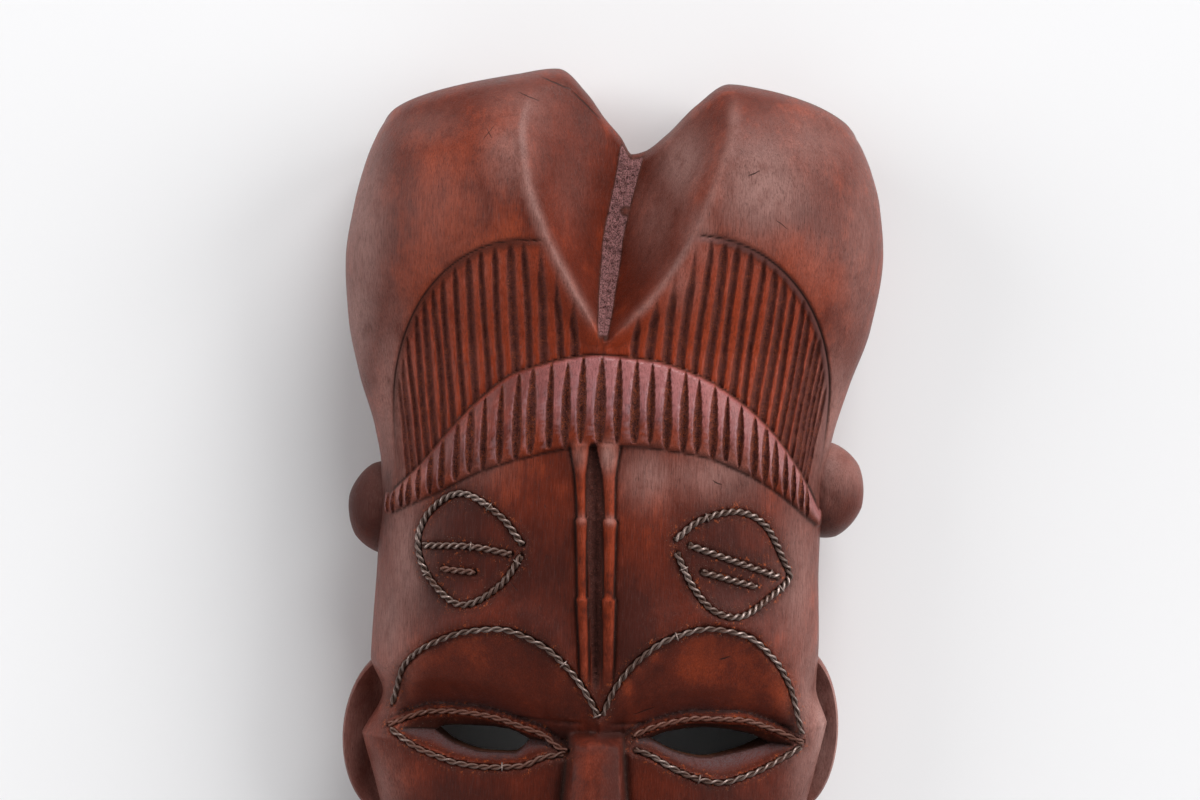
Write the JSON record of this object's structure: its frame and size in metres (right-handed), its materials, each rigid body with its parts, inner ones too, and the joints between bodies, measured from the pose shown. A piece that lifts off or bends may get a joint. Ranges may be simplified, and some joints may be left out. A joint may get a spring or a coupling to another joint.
{
  "type": "african mask",
  "caption": "Carved wooden face mask with a two-lobed crest, fluted hair, a gouged headband, pierced almond eyes and twisted-wire inlays",
  "frame": {"origin": "middle of the bounding box on the resting plane of the back rim", "axes": "X to the viewer's right, Y up the mask towards the crest, Z out of the face; the mask lies face up"},
  "size_m": [0.1834, 0.368, 0.091],
  "materials": {
    "carved_wood": "dark red-brown stained hardwood with a satin wax polish, lighter worn edges and near-black grooves",
    "twisted_wire": "two tarnished strands twisted together, dark in the hollows and dull silver on the crowns"
  },
  "bodies": {
    "root": {"mask_body": "carved_wood", "left_ornament_outline_wire": "twisted_wire", "left_ornament_long_bar_wire": "twisted_wire", "left_ornament_short_bar_wire": "twisted_wire", "right_ornament_outline_wire": "twisted_wire", "right_ornament_long_bar_wire": "twisted_wire", "right_ornament_short_bar_wire": "twisted_wire", "left_brow_wire": "twisted_wire", "right_brow_wire": "twisted_wire", "left_eye_upper_wire": "twisted_wire", "left_eye_lower_wire": "twisted_wire", "right_eye_upper_wire": "twisted_wire", "right_eye_lower_wire": "twisted_wire"}
  },
  "joints": []
}
